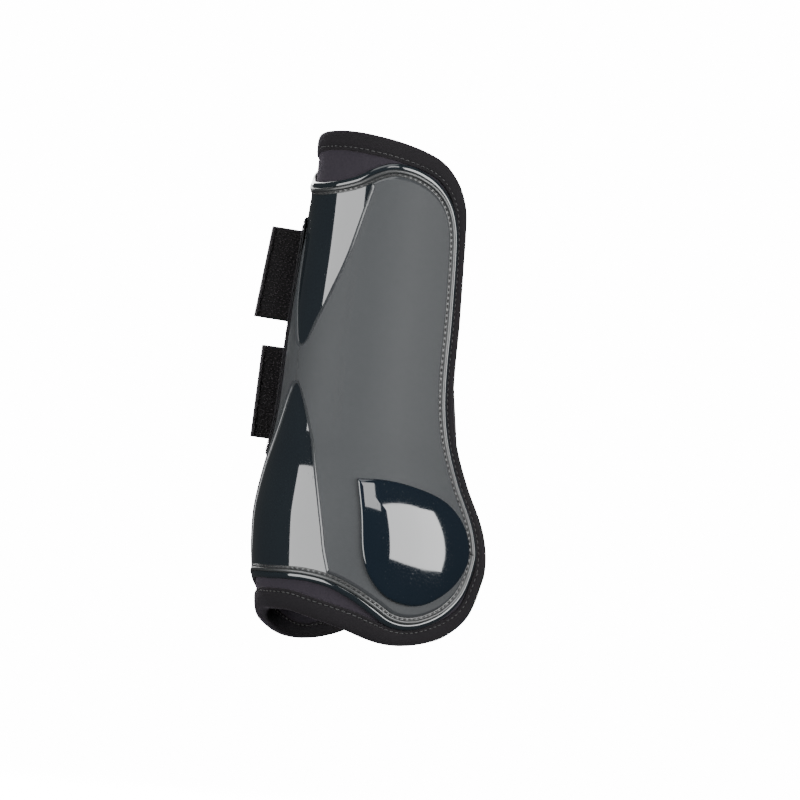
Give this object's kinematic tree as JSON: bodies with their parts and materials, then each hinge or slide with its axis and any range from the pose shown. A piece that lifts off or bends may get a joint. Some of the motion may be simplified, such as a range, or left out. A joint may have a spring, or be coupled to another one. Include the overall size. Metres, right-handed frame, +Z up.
{
  "type": "horse tendon boot",
  "caption": "Open-front horse leg boot: glossy and matt moulded shell with fetlock guards, bound neoprene lining and elastic straps that close with hook tape on a loop patch.",
  "frame": {"origin": "on the axis of the leg passage, level with the lowest point of the lining's stitched edge", "axes": "+Z up the cannon bone, +X towards the inner (medial) side of the leg, +Y towards the open front"},
  "size_m": [0.1056, 0.1058, 0.2516],
  "materials": {
    "gloss_shell": "high-gloss black moulded plastic",
    "matt_shell": "fine matt charcoal grey",
    "guard": "high-gloss black",
    "neoprene": "black knit-faced neoprene",
    "binding": "soft black folded tape",
    "thread": "black bonded sewing thread",
    "elastic": "ribbed black elastic webbing",
    "loop_pile": "black loop pile",
    "hook_pile": "black hook pile"
  },
  "bodies": {
    "root": {"tendon_shell": "gloss_shell", "matt_overlay": "matt_shell", "medial_fetlock_guard": "guard", "lateral_fetlock_guard": "guard", "neoprene_lining": "neoprene", "edge_binding": "binding", "shell_stitching": "thread", "binding_stitching": "thread", "loop_patch": "loop_pile", "loop_patch_stitching": "thread", "upper_strap_anchor": "elastic", "lower_strap_anchor": "elastic"},
    "upper_strap_body": {"upper_strap": "elastic"},
    "upper_tab_body": {"upper_strap_end": "elastic", "upper_hook_tape": "hook_pile", "upper_hook_stitching": "thread"},
    "lower_strap_body": {"lower_strap": "elastic"},
    "lower_tab_body": {"lower_strap_end": "elastic", "lower_hook_tape": "hook_pile", "lower_hook_stitching": "thread"}
  },
  "joints": [
    {"name": "upper_strap_swing", "type": "hinge", "parent": "root", "child": "upper_strap_body", "pos_m": [0.02543, 0.0357, 0.17645], "axis": [0.0256, 0.0048, -0.9997], "range_deg": [0, 90]},
    {"name": "upper_tab_peel", "type": "hinge", "parent": "upper_strap_body", "child": "upper_tab_body", "pos_m": [-0.03726, 0.02961, 0.17875], "axis": [-0.0289, -0.0045, -0.9996], "range_deg": [0, 80]},
    {"name": "lower_strap_swing", "type": "hinge", "parent": "root", "child": "lower_strap_body", "pos_m": [0.02759, 0.03822, 0.11645], "axis": [0.0705, 0.1225, -0.99], "range_deg": [0, 70]},
    {"name": "lower_tab_peel", "type": "hinge", "parent": "lower_strap_body", "child": "lower_tab_body", "pos_m": [-0.03977, 0.03108, 0.11875], "axis": [-0.0705, 0.0824, -0.9941], "range_deg": [0, 80]}
  ]
}
